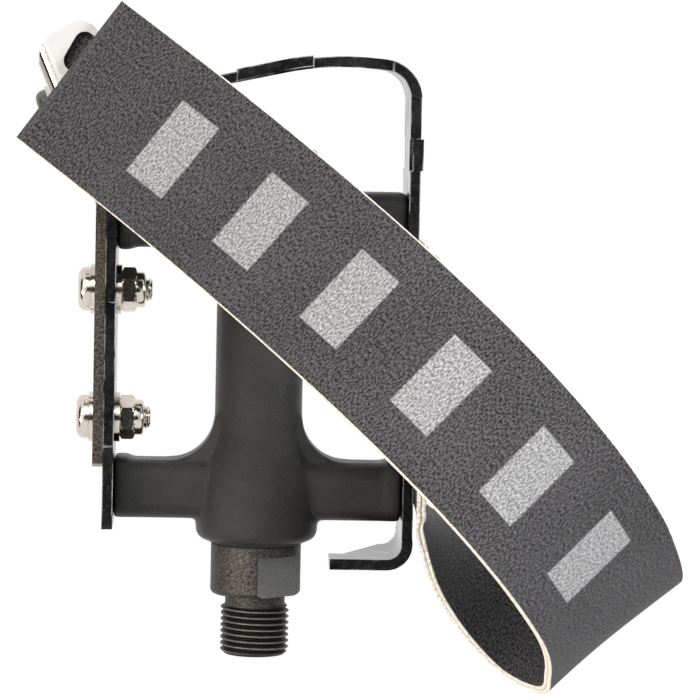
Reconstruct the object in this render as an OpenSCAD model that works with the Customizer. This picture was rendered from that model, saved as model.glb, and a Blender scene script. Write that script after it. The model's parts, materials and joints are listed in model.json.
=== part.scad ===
// Right-hand platform pedal with a diagonal toe strap, in millimetres.
// X points to the rear of the bicycle, Y outboard along the spindle, Z up.
// The origin is on the spindle axis, where the crank thread meets the neck.

/* [Spindle] */
// Major diameter of the crank thread (9/16 inch)
thread_d = 14.288; // [12.7:0.1:15]
// Length of the crank thread outside the neck
thread_l = 10.7; // [9:0.1:14]
// Diameter of the plain neck beside the thread
neck_d = 12.5; // [11:0.1:12.6]
// Length of the plain neck
neck_l = 1.9; // [1:0.1:4]
// Diameter of the wrench flange
flange_d = 18.8; // [17.4:0.1:19]
// Length of the wrench flange
flange_l = 10.4; // [8:0.1:14]
// Distance across the two wrench flats
flat_w = 15; // [13:0.5:16.5]
// Length of the wrench flats
flat_l = 8.6; // [5:0.1:9.4]
// Turn of the wrench flats about the spindle axis
flat_turn = 38; // [0:1:90]
// Thread diameter of the spindle's outboard end
tail_d = 7; // [6:0.1:7.2]

/* [Bearings] */
// Diameter of each bearing ball (5/32 inch)
ball_d = 3.969; // [3.5:0.001:4.1]
// Radius of the inboard circle of ball centres
in_ball_r = 7.6; // [7.4:0.05:7.8]
// Radius of the outboard circle of ball centres
out_ball_r = 6.6; // [6.4:0.05:6.8]
// Number of balls in the inboard row
in_balls = 11; // [8:1:11]
// Number of balls in the outboard row
out_balls = 9; // [7:1:9]
// Distance between the two ball rows
row_gap = 62.7; // [60:0.1:66]
// Running gap between a ball and its groove
ball_gap = 0.03; // [0.02:0.01:0.08]
// Wall of a bearing cup behind its groove
cup_wall = 0.85; // [0.7:0.05:0.95]
// Gap between the dust seal's lip and the spindle
seal_gap = 0.3; // [0.2:0.05:0.5]

/* [Body] */
// Gap between the wrench flange and the body
body_gap = 0.4; // [0.3:0.1:1]
// Diameter of the barrel between the arms
barrel_d = 18.2; // [17:0.1:20]
// Diameter of the flared inboard end
in_flare_d = 25.4; // [25:0.1:26]
// Diameter of the flared outboard end
out_flare_d = 23.4; // [23:0.1:25]
// Place of the inboard arms along the spindle
in_arm_y = 23.9; // [23.6:0.1:26.5]
// Gap between the outboard arms and the outboard bolts' washers
arm_clear = 3.2; // [0.6:0.1:5]
// Width of an arm, seen from above
arm_w = 12.2; // [11:0.1:14]
// Height of an arm, up and down
arm_h = 13.4; // [11:0.1:16]
// Rounding along the arm's edges
arm_r = 3.6; // [2:0.1:5]
// How much the pad at the arm's end is wider, toward the other arm
pad_w = 0.6; // [0.4:0.1:2]
// Length of the pad at the arm's end
pad_l = 3; // [2:0.1:6]
// Radius of the webs between arm and barrel
web_r = 9.5; // [6:0.5:11]
// Height of those webs
web_h = 9; // [6:0.5:11]

/* [Cage] */
// Width across the cage's outer faces
cage_w = 64; // [60:0.5:70]
// Thickness of the cage's sheet
cage_t = 2.2; // [2:0.1:2.4]
// Height of the cage over its teeth
cage_h = 26; // [25.8:0.1:30]
// Crown of the cage's outboard plate, where its two slopes would meet
cage_y = 113.6; // [111:0.1:118]
// Crown of the outboard plate, from the spindle axis
crown_x = 13; // [8:0.5:16]
// How far the outboard plate falls from its crown to the rear corner
crown_fall = 1.6; // [0.4:0.1:3]
// Inboard end of the front plate
front_end_y = 16.4; // [13:0.1:17]
// Corner between the front plate and the outboard plate
front_corner_y = 103.9; // [102:0.1:106]
// Middle line of the inboard hook tab
tab_y = 9.9; // [8:0.1:11]
// Free end of the hook tab, from the spindle axis
tab_x = 15; // [13.5:0.5:20]
// Height of the hook tab at its free end
tab_h = 9; // [5:0.5:20]
// Height of the teeth on both edges
tooth_h = 1.4; // [0.6:0.1:2]
// Sideways set of single teeth
tooth_set = 0.5; // [0.2:0.1:0.8]
// Diameter of the countersunk screws in the arms
screw_d = 4; // [3:0.5:5]
// Length of the countersunk screws
screw_l = 10; // [7:0.5:12]

/* [Fasteners] */
// Thread diameter of the through bolts
bolt_d = 5; // [4:0.5:5]
// Diameter of a bolt head
head_d = 9.2; // [8.6:0.1:9.8]
// Height of a bolt head
head_h = 2.6; // [2:0.1:3.4]
// Diameter of a washer
washer_d = 10.4; // [9.6:0.1:11]
// Thickness of a washer
washer_t = 1; // [0.6:0.1:1.2]
// Distance across a lock nut's flats
nut_w = 8; // [7.6:0.1:9]
// Height of a lock nut's hexagon
nut_h = 3.1; // [2.6:0.1:3.8]
// Height of a lock nut's round collar
collar_h = 1.9; // [1.4:0.1:2.4]
// Diametral clearance of a bolt in its hole
hole_gap = 0.3; // [0.2:0.05:0.5]
// Bolt length that shows past the nut
bolt_past = 1.3; // [0.5:0.1:3]
// Gap between the inboard arms and the inboard bolts' washers
bolt_clear = 2.6; // [1:0.1:5]
// Distance between the bolts of a pair
bolt_pitch = 26.6; // [24:0.1:30]

/* [Front bracket] */
// Thickness of the bracket's steel
bar_t = 2.2; // [1.8:0.1:2.6]
// Height of the bracket's bar
bar_h = 19; // [16:0.5:22]
// Inboard end of the bar
bar_end_y = 28.7; // [28:0.1:31]
// Place where the bar turns forward
bend_y = 83; // [78:0.5:86]
// Angle by which the bar turns forward
bend_turn = 23; // [20:1:26]
// Length of the turned arm, from bend to tip
reach_l = 31; // [29:0.5:33]
// Height of the eye's upper face above the spindle axis
eye_z = 18.5; // [17:0.5:20]
// Place of the strap bolt along the turned arm
eye_bolt_u = 21; // [20:0.5:22]
// Height of the strap bolt
eye_bolt_z = 6; // [4:0.5:7]
// Inner radius of the bend between the turned arm and the eye
eye_bend = 1.2; // [0.6:0.1:2]

/* [Strap] */
// Width of the strap
strap_w = 35; // [32:0.5:36]
// Thickness of the strap, both plies
strap_t = 2; // [1.6:0.1:2.4]
// Gap between the strap and the metal that it lies on
strap_gap = 0.3; // [0.2:0.05:0.5]
// Height of the arch over the straight line between its ends
strap_arch = 29; // [22:1:34]
// Sideways bow of the strap, seen from above
strap_bow = 13.3; // [9:0.1:16]
// Distance that the loop reaches behind the cage
loop_reach = 39; // [34:0.5:44]
// Height of the strap's middle line on the rear plate
strap_z = 1.5; // [0:0.5:2]
// Thickness of the clamp plate on the strap's rear end
clamp_t = 2; // [1.6:0.1:2.6]

/* [Hidden] */
$fn = 48;

// Spindle stations along Y, from the crank to the tail
flange_y = neck_l;
body_y = flange_y + flange_l + body_gap;
in_row_y = body_y + 7.1;
out_row_y = in_row_y + row_gap;
tail_y = out_row_y + 9.8;
seat_r = in_ball_r + 0.6;
groove_r = ball_d / 2 + ball_gap;
shaft_r = in_ball_r - groove_r;
cone_r = out_ball_r - groove_r;
tail_gap = 0.05;

// Bearing seats in the body
in_cup_r = in_ball_r + groove_r + cup_wall;
out_cup_r = out_ball_r + groove_r + cup_wall;
cup_gap = 0.02;
cup_l = 6.4;
cup_back = 3.6;
bore_r = shaft_r + 1.2;
bolt_y = in_arm_y + arm_w / 2 + pad_w + bolt_clear + washer_d / 2;
out_arm_y = bolt_y + bolt_pitch + washer_d / 2 + arm_clear + arm_w / 2 + pad_w;
body_end_y = tail_y + 0.2;

// Cage and bracket faces along X
cage_out = cage_w / 2;
cage_in = cage_out - cage_t;
cage_mid = cage_out - cage_t / 2;
bar_out = cage_out + bar_t;
bolt_ys = [bolt_y, bolt_y + bolt_pitch];
bolt_hole_r = (bolt_d + hole_gap) / 2;

// Corners of the cage's middle line with their bend radii, from front plate to hook tab
cage_line = [[-cage_mid, front_end_y], [-cage_mid, front_corner_y],
    [crown_x, cage_y], [cage_mid, cage_y - crown_fall],
    [cage_mid, tab_y], [tab_x, tab_y]];
cage_bends = [0, 9, 60, 7, 4.2, 0];
bend_facets = 10;
disc_facets = 9;
// Stretches where the sheet's edges are lower than the teeth
front_notches = [[33.4, 63], [77.9, 98]];
outer_notches = [[-20, -5.8], [9.7, 26]];
rear_notches = [[97.5, 106], [46, 76], [15, 31]];
// Single teeth that are set sideways: place and size of each stretch, and its shift
set_h = 4;
set_teeth = [[[cage_in - 1, 91], [cage_t + 2, 6.5], [tooth_set, 0]],
    [[-5.8, front_corner_y], [15.5, cage_y - front_corner_y + cage_t], [0, tooth_set]]];

// Screws in the arm ends
sink_d = screw_d * 1.9;
sink_h = cage_t - 0.3;

// Turned arm of the bracket: u runs along it, v is square to it, away from the cage
arm_dir = [-sin(bend_turn), cos(bend_turn)];
arm_out = [-cos(bend_turn), -sin(bend_turn)];
arm_foot = [-bar_out, bend_y];
tip = arm_foot + arm_dir * reach_l;
eye_low = eye_z - bar_t;
// Slot in the eye
slot_c = tip + [8.6, 2.4];
slot_turn = 61;
slot_l = 8.6;
slot_w = 4.4;
// Rounded corners of the eye, as [centre, radius], counter-clockwise in plan
eye_discs = [[tip - arm_dir * 14 - arm_out * 3, 3], [tip + [14.6, -2.6], 3.6],
    [tip + [8.7, 4.5], 4.05], [tip + [5.7, 1.2], 5.3]];

// Strap: where it starts on the eye and where it leaves the rear plate
ply_t = strap_t / 2;
front_pt = [tip[0] + 6.9, tip[1] - 1.4, eye_z + strap_gap + ply_t + 0.3];
rear_x = cage_out + strap_gap + ply_t;
leave_pt = [rear_x, front_end_y + 1.6, strap_z];
clamp_past = 8;
strap_end_y = bolt_ys[1] + clamp_past + 3;
fold_pt = leave_pt + [loop_reach - 2.8, -9, 35.6];
front_edge = [-0.62, -0.78, 0];
fold_edge = [-0.74, -0.62, 0.26];
arch_lean = 1.1;
bow_share = 0.71;
front_steps = 8;
ring_step = 0.25;
across = 6;
// Lower ply under the eye: width, way to the eye's rim, place where the plies meet, tab
ply_w = 14;
ply_core = 0.9 * ply_t;
ply_inset = 0.5;
exit_l = 11.5;
join_t = 1.15;
tab_l = 14;
tab_below = 5;

function unit(v) = v / norm(v);
function mix(a, b, t) = a + (b - a) * t;
function ease(a, b, n) = [for (i = [0:n]) let (t = i / n)
    [mix(a[0], b[0], (1 - cos(180 * t)) / 2), mix(a[1], b[1], t)]];
function dir(a) = [cos(a), sin(a)];
function arc(c, r, a0, a1, n) = [for (i = [0:n]) c + r * dir(mix(a0, a1, i / n))];

// Direction of the outer tangent's normal from disc a to disc b, for a counter-clockwise outline
function side_angle(a, b) =
    let (d = b[0] - a[0]) atan2(d[1], d[0]) - acos((a[1] - b[1]) / norm(d));

// Outline round a counter-clockwise list of discs, each as [centre, radius]
function disc_outline(discs) =
    let (n = len(discs))
    [for (i = [0:n - 1]) let (c = discs[i], a = side_angle(discs[(i + n - 1) % n], c),
        b = side_angle(c, discs[(i + 1) % n]))
        each arc(c[0], c[1], a, b < a ? b + 360 : b, disc_facets)];

// Point of the front leg at the share t of its way from the eye to the fold
leg_chord = unit([fold_pt[0] - front_pt[0], fold_pt[1] - front_pt[1], 0]);
bow_pt = mix(front_pt, fold_pt, bow_share) + [-leg_chord[1], leg_chord[0], 0] * strap_bow;
function leg_point(t) =
    let (p = mix(mix(front_pt, bow_pt, t), mix(bow_pt, fold_pt, t), t))
    [p[0], p[1], mix(front_pt[2], fold_pt[2], t) + strap_arch * sin(180 * pow(t, arch_lean))];

// Middle points of the strap and the direction of its front and inboard edge at each
strap_points = concat([for (i = [0:front_steps]) leg_point(i / front_steps)],
    [for (p = [[1.01, -18, 23.3], [0.95, -21, 13], [0.755, -18.3, 6], [0.525, -11.8, 4.5],
        [0.26, -6, 1.8], [0.07, -0.7, 0.4], [0.014, 3, 0.1]])
        leave_pt + [p[0] * loop_reach, p[1], p[2]]],
    [for (y = [leave_pt[1] + 7, bolt_ys[0], bolt_ys[1], strap_end_y]) [rear_x, y, strap_z]]);
strap_edges = concat([for (i = [0:front_steps]) mix(front_edge, fold_edge, i / front_steps)],
    [[-0.79, -0.53, 0.31], [-0.68, -0.64, 0.36], [-0.635, -0.68, 0.366], [-0.58, -0.63, 0.52],
        [-0.37, -0.33, 0.86], [-0.15, -0.03, 0.98], [-0.03, 0, 1]],
    [for (i = [0:3]) [0, 0, 1]]);
strap_last = len(strap_points) - 1;

// Smooth curve through a list of points
function pick(list, i) = list[max(0, min(len(list) - 1, i))];
function spline(list, t) =
    let (i = min(floor(t), len(list) - 2), s = t - i,
        a = pick(list, i - 1), b = pick(list, i), c = pick(list, i + 1), d = pick(list, i + 2))
    b + (c - a) * s / 2 + (2 * a - 5 * b + 4 * c - d) * s * s / 2
        + (3 * b - a - 3 * c + d) * s * s * s / 2;

// One ring of the strap's section: along one face and back along the other
function strap_ring(t) =
    let (p = spline(strap_points, t), step = 0.02,
        along = unit(spline(strap_points, min(t + step, strap_last))
            - spline(strap_points, max(t - step, 0))),
        e = spline(strap_edges, t),
        edge = unit(e - (e * along) * along),
        face = cross(edge, along))
    concat([for (k = [0:across]) p + edge * strap_w * (k / across - 0.5) + face * strap_t / 2],
        [for (k = [across:-1:0]) p + edge * strap_w * (k / across - 0.5) - face * strap_t / 2]);

// Solid through a list of rings of equal length, each a flat band there and back
module skin(rings) {
    n = len(rings[0]);
    m = len(rings);
    polyhedron(points = [for (r = rings) for (p = r) p],
        faces = concat(
            [for (j = [0:n / 2 - 2]) each [[j, j + 1, n - 2 - j], [j, n - 2 - j, n - 1 - j]]],
            [for (i = [0:m - 2]) for (j = [0:n - 1]) let (k = (j + 1) % n)
                each [[i * n + j, (i + 1) * n + j, (i + 1) * n + k],
                    [i * n + j, (i + 1) * n + k, i * n + k]]],
            [for (j = [0:n / 2 - 2]) let (e = (m - 1) * n)
                each [[e + j + 1, e + j, e + n - 2 - j], [e + n - 2 - j, e + j, e + n - 1 - j]]]),
        convexity = 6);
}

// Turned shape about the spindle axis; its outline is a list of [radius, y]
module turned(outline) {
    rotate([-90, 0, 0]) rotate_extrude($fn = 96) polygon(outline);
}

// Ring-shaped groove for a row of balls, about the spindle axis
module ball_groove(row_y, row_r) {
    translate([0, row_y, 0]) rotate([-90, 0, 0])
        rotate_extrude($fn = 96) translate([row_r, 0]) circle(r = groove_r, $fn = 48);
}

// Cylinder along Y
module rod_y(r, y0, y1) {
    translate([0, y0, 0]) rotate([-90, 0, 0]) cylinder(r = r, h = y1 - y0, $fn = 96);
}

// Cylinder along X
module rod_x(r, x0, x1, y, z) {
    translate([x0, y, z]) rotate([0, 90, 0]) cylinder(r = r, h = x1 - x0);
}

module rounded_rect(w, h, r) {
    square([w - 2 * r, h], center = true);
    square([w, h - 2 * r], center = true);
    for (x = [-1, 1], y = [-1, 1])
        translate([x * (w / 2 - r), y * (h / 2 - r)]) circle(r = r);
}

// Bearing row of loose balls
module ball_row(row_y, row_r, count) {
    for (i = [0:count - 1])
        rotate([0, i * 360 / count, 0]) translate([row_r, row_y, 0]) sphere(d = ball_d, $fn = 32);
}

// Body

// Arm at y with its pad drawn out toward the other pair of arms
module arm(y, toward, side) {
    mirror([side > 0 ? 0 : 1, 0, 0]) {
        translate([0, y, 0]) rotate([90, 0, 90])
            linear_extrude(cage_in) rounded_rect(arm_w, arm_h, arm_r);
        translate([cage_in - pad_l, y + toward * pad_w / 2, 0]) rotate([90, 0, 90])
            linear_extrude(pad_l) rounded_rect(arm_w + pad_w, arm_h + pad_w, arm_r);
    }
}

// Curved web that fills the corner between an arm and the barrel
module web(y, toward, side) {
    corner = [barrel_d / 2 - 1, y + toward * (arm_w / 2 - 1)];
    mirror([side > 0 ? 0 : 1, 0, 0]) translate([corner[0], corner[1], -web_h / 2])
        mirror([0, toward > 0 ? 0 : 1, 0]) linear_extrude(web_h) difference() {
            square(web_r + 1);
            translate([web_r + 1, web_r + 1]) circle(r = web_r, $fn = 64);
        }
}

module pedal_body() {
    rim = 2.1;
    color([0.13, 0.13, 0.135]) difference() {
        union() {
            turned(concat([[0, body_y + 0.5], [in_flare_d / 2 - rim + 0.4, body_y + 0.5]],
                arc([in_flare_d / 2 - rim, body_y + 0.6 + rim], rim, -75, 0, 5),
                ease([in_flare_d / 2, in_row_y + 3.2], [barrel_d / 2, in_arm_y + 14], 8),
                ease([barrel_d / 2, out_arm_y - 14], [out_flare_d / 2, out_arm_y - 4], 8),
                [[out_flare_d / 2, body_end_y - 0.6], [out_flare_d / 2 - 0.6, body_end_y],
                    [0, body_end_y]]));
            for (side = [-1, 1]) {
                arm(in_arm_y, 1, side);
                arm(out_arm_y, -1, side);
                web(in_arm_y, 1, side);
                web(out_arm_y, -1, side);
            }
        }
        rod_y(in_cup_r + cup_gap, body_y - 1, in_row_y + cup_back);
        rod_y(bore_r, in_row_y, out_row_y);
        rod_y(out_cup_r + cup_gap, out_row_y - cup_back, body_end_y + 1);
        for (y = [in_arm_y, out_arm_y], side = [-1, 1])
            rod_x(screw_d / 2 + 0.1, side > 0 ? cage_in - screw_l : -cage_in - 1,
                side > 0 ? cage_in + 1 : screw_l - cage_in, y, 0);
    }
}

// Cage

// Points along one face of the sheet, at the distance off to the left of its middle line
function bend_points(i, off) =
    let (a = pick(cage_line, i - 1), b = cage_line[i], c = pick(cage_line, i + 1),
        u = i == 0 ? unit(c - b) : unit(b - a), v = c == b ? u : unit(c - b),
        turn = acos(min(1, u * v)), start = atan2(u[1], u[0]) + 90, r = cage_bends[i],
        centre = b + [u[1], -u[0]] * r - u * r * tan(turn / 2))
    r == 0 ? [b + dir(start) * off] : arc(centre, r + off, start, start - turn, bend_facets);

module cage_outline() {
    last = len(cage_line) - 1;
    polygon(concat([for (i = [0:last]) each bend_points(i, cage_t / 2)],
        [for (i = [last:-1:0]) let (inner = bend_points(i, -cage_t / 2), n = len(inner))
            each [for (k = [n - 1:-1:0]) inner[k]]]));
}

module notch(x0, x1, y0, y1) {
    for (z = [cage_h / 2 - tooth_h, -cage_h / 2 - 1])
        translate([x0, y0, z]) cube([x1 - x0, y1 - y0, tooth_h + 1]);
}

module set_stretch(s) {
    translate(s[0]) square(s[1]);
}

// Sheet on edge, with single teeth set sideways along both edges
module cage_sheet() {
    core_h = cage_h - 2 * set_h;
    translate([0, 0, -core_h / 2]) linear_extrude(core_h) cage_outline();
    for (z = [core_h / 2, -cage_h / 2]) translate([0, 0, z]) linear_extrude(set_h) {
        difference() {
            cage_outline();
            for (s = set_teeth) set_stretch(s);
        }
        for (s = set_teeth) translate(s[2]) intersection() {
            cage_outline();
            set_stretch(s);
        }
    }
}

module cage() {
    color([0.1, 0.1, 0.105]) difference() {
        cage_sheet();
        translate([0, tab_y - cage_t, 0]) rotate([90, 0, 0]) mirror([0, 0, 1])
            linear_extrude(2 * cage_t) polygon([[tab_x - 1, cage_h / 2 - tab_h],
                [tab_x + 3, cage_h / 2 - tab_h], [cage_in - 3, -cage_h / 2 - 1],
                [tab_x - 1, -cage_h / 2 - 1]]);
        for (s = front_notches) notch(-cage_out - 1, -cage_in + 1, s[0], s[1]);
        for (s = rear_notches) notch(cage_in - 1, cage_out + 1, s[0], s[1]);
        for (s = outer_notches) notch(s[0], s[1], front_corner_y + 1, cage_y + 2);
        for (y = bolt_ys, side = [-1, 1])
            rod_x(bolt_hole_r, side * cage_mid - cage_t, side * cage_mid + cage_t, y, 0);
        for (y = [in_arm_y, out_arm_y], side = [-1, 1]) screw_shape(y, side, 0.1);
    }
}

// Countersunk screw shape in an arm's end, larger all round by grow
module screw_shape(y, side, grow) {
    mirror([side > 0 ? 0 : 1, 0, 0]) translate([cage_out, y, 0]) rotate([0, -90, 0]) {
        cylinder(r1 = sink_d / 2 + grow, r2 = screw_d / 2 + grow, h = sink_h);
        cylinder(r = screw_d / 2 + grow, h = cage_t + 0.5);
    }
}

module cage_screw(y, side) {
    color([0.2, 0.2, 0.21]) difference() {
        union() {
            screw_shape(y, side, 0);
            mirror([side > 0 ? 0 : 1, 0, 0]) rod_x(screw_d / 2, cage_in - screw_l + 0.5,
                cage_in + 0.5, y, 0);
        }
        mirror([side > 0 ? 0 : 1, 0, 0]) translate([cage_out - 1.3, y, 0])
            rotate([0, 90, 0]) cylinder(d = screw_d * 0.72, h = 2, $fn = 6);
    }
}

module cage_screw_front_inboard() { cage_screw(in_arm_y, -1); }
module cage_screw_front_outboard() { cage_screw(out_arm_y, -1); }
module cage_screw_rear_inboard() { cage_screw(in_arm_y, 1); }
module cage_screw_rear_outboard() { cage_screw(out_arm_y, 1); }

// Spindle and bearings

module spindle() {
    chamfer = 0.8;
    key_w = 1.6;
    color([0.22, 0.22, 0.225]) difference() {
        turned([[0, -thread_l], [thread_d / 2 - chamfer, -thread_l],
            [thread_d / 2, chamfer - thread_l], [thread_d / 2, 0], [neck_d / 2, 0],
            [neck_d / 2, flange_y], [flange_d / 2 - chamfer, flange_y],
            [flange_d / 2, flange_y + chamfer], [flange_d / 2, flange_y + flange_l - 0.4],
            [flange_d / 2 - 0.4, flange_y + flange_l], [seat_r, flange_y + flange_l],
            [seat_r, in_row_y - 1.5], [shaft_r, in_row_y + 2],
            [cone_r - 0.4, out_row_y - 5], [tail_d / 2, out_row_y - 5],
            [tail_d / 2, tail_y - 0.5], [tail_d / 2 - 0.5, tail_y], [0, tail_y]]);
        ball_groove(in_row_y, in_ball_r);
        for (side = [0, 180]) rotate([0, flat_turn + side, 0])
            translate([-flange_d, flange_y - 0.1, flat_w / 2])
                cube([2 * flange_d, flat_l, flange_d]);
        translate([-key_w / 2, out_row_y - 1, tail_d / 2 - 1])
            cube([key_w, tail_y - out_row_y + 2, 3]);
    }
}

// Cup that opens toward the crank; the outboard cup is the same shape turned round
module cup(row_r, outer_r) {
    difference() {
        turned([[row_r - 0.6, 0.6], [row_r - 0.6, cup_back], [outer_r, cup_back],
            [outer_r, cup_back - cup_l], [row_r + groove_r, cup_back - cup_l],
            [row_r + groove_r, 0], [row_r + 0.5, 0.6]]);
        ball_groove(0, row_r);
    }
}

module inboard_cup() {
    color([0.62, 0.62, 0.62]) translate([0, in_row_y, 0]) cup(in_ball_r, in_cup_r);
}

module outboard_cup() {
    color([0.62, 0.62, 0.62]) translate([0, out_row_y, 0]) mirror([0, 1, 0])
        cup(out_ball_r, out_cup_r);
}

module inboard_balls() { color([0.75, 0.75, 0.76]) ball_row(in_row_y, in_ball_r, in_balls); }

module outboard_balls() { color([0.75, 0.75, 0.76]) ball_row(out_row_y, out_ball_r, out_balls); }

// Adjusting cone on the spindle's tail
cone_end_y = out_row_y + 4.6;
lock_washer_t = 1;
tail_nut_w = 10;
tail_nut_h = 3;

module bearing_cone() {
    color([0.55, 0.55, 0.56]) difference() {
        turned([[tail_d / 2 + tail_gap, out_row_y - 2], [cone_r, out_row_y - 2],
            [out_ball_r + 0.5, out_row_y + 1.6], [out_ball_r - 0.6, cone_end_y],
            [tail_d / 2 + tail_gap, cone_end_y]]);
        ball_groove(out_row_y, out_ball_r);
        for (side = [0, 180]) rotate([0, side, 0])
            translate([-10, cone_end_y - 2.2, out_ball_r - 1.1]) cube([20, 3, 5]);
    }
}

module lock_washer() {
    color([0.6, 0.6, 0.6]) {
        difference() {
            rod_y(out_ball_r - 0.8, cone_end_y, cone_end_y + lock_washer_t);
            rod_y(tail_d / 2 + 0.1, cone_end_y - 1, cone_end_y + 2);
        }
        translate([-0.7, cone_end_y, tail_d / 2 - 0.8]) cube([1.4, lock_washer_t, 1.2]);
    }
}

module lock_nut() {
    y0 = cone_end_y + lock_washer_t;
    color([0.6, 0.6, 0.6]) difference() {
        translate([0, y0, 0]) rotate([-90, 0, 0])
            cylinder(d = tail_nut_w / cos(30), h = tail_nut_h, $fn = 6);
        rod_y(tail_d / 2 + tail_gap, y0 - 1, y0 + tail_nut_h + 1);
    }
}

// Screwed cap over the lock nut
module dust_cap() {
    plug_l = 4.4;
    cap_t = 2.2;
    hollow_r = out_ball_r + 0.7;
    color([0.09, 0.09, 0.095]) difference() {
        turned([[0, body_end_y - plug_l], [out_cup_r - 0.1, body_end_y - plug_l],
            [out_cup_r - 0.1, body_end_y], [out_flare_d / 2 - 0.3, body_end_y],
            [out_flare_d / 2 - 0.3, body_end_y + cap_t - 0.8],
            [out_flare_d / 2 - 1.1, body_end_y + cap_t], [0, body_end_y + cap_t]]);
        rod_y(hollow_r, body_end_y - plug_l - 1, body_end_y + 0.6);
        translate([0, body_end_y + 1, 0]) rotate([-90, 0, 0])
            cylinder(d = 7, h = 2, $fn = 6);
    }
}

// Ring seal between the body's inboard end and the spindle
module dust_seal() {
    face_y = body_y - 0.1;
    color([0.07, 0.07, 0.07]) turned([[seat_r + seal_gap, face_y],
        [in_cup_r - 1.1, face_y], [in_cup_r - 0.1, face_y + 0.5],
        [in_cup_r - 0.1, in_row_y + cup_back - cup_l], [seat_r + 1.2, in_row_y + cup_back - cup_l],
        [seat_r + 1.2, face_y + 1.6], [seat_r + seal_gap, face_y + 1.6]]);
}

// Bolts, washers and nuts; each is drawn along +Z from the face that it seats on

module pan_bolt(grip) {
    round_r = head_h * 0.65;
    color([0.72, 0.7, 0.67]) difference() {
        union() {
            mirror([0, 0, 1]) rotate_extrude($fn = 64) polygon(concat([[0, 0], [head_d / 2, 0]],
                arc([head_d / 2 - round_r, head_h - round_r], round_r, 0, 90, 6),
                [[0, head_h]]));
            cylinder(d = bolt_d, h = grip + nut_h + collar_h + bolt_past);
        }
        translate([0, 0, -head_h - 1]) cylinder(d = bolt_d * 0.69, h = 2.6, $fn = 6);
    }
}

module washer() {
    color([0.7, 0.69, 0.67]) difference() {
        cylinder(d = washer_d, h = washer_t);
        translate([0, 0, -1]) cylinder(r = bolt_hole_r, h = washer_t + 2);
    }
}

collar_d = nut_w * 0.93;
ring_d = bolt_d + 1.3;

module lock_nut_m() {
    color([0.72, 0.7, 0.67]) difference() {
        union() {
            intersection() {
                rotate(30) cylinder(d = nut_w / cos(30), h = nut_h, $fn = 6);
                translate([0, 0, nut_h / 2]) sphere(d = nut_w * 1.2, $fn = 64);
            }
            cylinder(d = collar_d, h = nut_h + collar_h);
        }
        translate([0, 0, -1]) cylinder(d = bolt_d + 2 * tail_gap, h = nut_h + collar_h + 2);
        translate([0, 0, nut_h + 0.4]) cylinder(d = ring_d, h = collar_h - 0.7);
    }
}

// Nylon ring held in the nut's collar
module nut_ring() {
    color([0.85, 0.85, 0.8]) translate([0, 0, nut_h + 0.4]) difference() {
        cylinder(d = ring_d - 0.04, h = collar_h - 0.7);
        translate([0, 0, -1]) cylinder(d = bolt_d + 0.04, h = collar_h + 1);
    }
}

// Seats of the three bolt groups: front pair, rear pair and the bolt by the eye
front_grip = washer_t + bar_t + cage_t + washer_t;
rear_grip = clamp_t + strap_gap + strap_t + strap_gap + cage_t + washer_t;
eye_grip = washer_t + bar_t + strap_gap + ply_t + strap_gap + washer_t;

module at_front(y, depth) {
    translate([-bar_out - washer_t + depth, y, 0]) rotate([0, 90, 0]) children();
}

module at_rear(y, depth) {
    translate([cage_in - washer_t + rear_grip - depth, y, 0]) rotate([0, -90, 0]) children();
}

module at_eye(depth) {
    foot = arm_foot + arm_dir * eye_bolt_u + arm_out * (washer_t - depth);
    translate([foot[0], foot[1], eye_bolt_z]) rotate([0, 90, bend_turn]) children();
}

module bracket_bolt_inboard() { at_front(bolt_ys[0], 0) pan_bolt(front_grip); }
module bracket_bolt_outboard() { at_front(bolt_ys[1], 0) pan_bolt(front_grip); }
module eye_bolt() { at_eye(0) pan_bolt(eye_grip); }
module head_washer_inboard() { at_front(bolt_ys[0], 0) washer(); }
module head_washer_outboard() { at_front(bolt_ys[1], 0) washer(); }
module head_washer_eye() { at_eye(0) washer(); }
module nut_washer_inboard() { at_front(bolt_ys[0], front_grip - washer_t) washer(); }
module nut_washer_outboard() { at_front(bolt_ys[1], front_grip - washer_t) washer(); }
module nut_washer_eye() { at_eye(eye_grip - washer_t) washer(); }
module bracket_nut_inboard() { at_front(bolt_ys[0], front_grip) lock_nut_m(); }
module bracket_nut_outboard() { at_front(bolt_ys[1], front_grip) lock_nut_m(); }
module eye_nut() { at_eye(eye_grip) lock_nut_m(); }
module nut_ring_inboard() { at_front(bolt_ys[0], front_grip) nut_ring(); }
module nut_ring_outboard() { at_front(bolt_ys[1], front_grip) nut_ring(); }
module nut_ring_eye() { at_eye(eye_grip) nut_ring(); }
module strap_bolt_inboard() { at_rear(bolt_ys[0], 0) pan_bolt(rear_grip); }
module strap_bolt_outboard() { at_rear(bolt_ys[1], 0) pan_bolt(rear_grip); }
module strap_washer_inboard() { at_rear(bolt_ys[0], rear_grip - washer_t) washer(); }
module strap_washer_outboard() { at_rear(bolt_ys[1], rear_grip - washer_t) washer(); }
module strap_nut_inboard() { at_rear(bolt_ys[0], rear_grip) lock_nut_m(); }
module strap_nut_outboard() { at_rear(bolt_ys[1], rear_grip) lock_nut_m(); }
module strap_ring_inboard() { at_rear(bolt_ys[0], rear_grip) nut_ring(); }
module strap_ring_outboard() { at_rear(bolt_ys[1], rear_grip) nut_ring(); }

// Clamp plate over the strap's rear end
module strap_clamp() {
    clamp_l = bolt_pitch + 2 * clamp_past;
    clamp_h = strap_w / 2;
    color([0.16, 0.16, 0.165]) difference() {
        translate([rear_x + ply_t + strap_gap, (bolt_ys[0] + bolt_ys[1]) / 2, 0])
            rotate([90, 0, 90]) linear_extrude(clamp_t) rounded_rect(clamp_l, clamp_h, 3);
        for (y = bolt_ys) rod_x(bolt_hole_r, rear_x, rear_x + 2 * strap_t + clamp_t, y, 0);
    }
}

// Front bracket: bar on the cage, turned arm and eye

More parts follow.
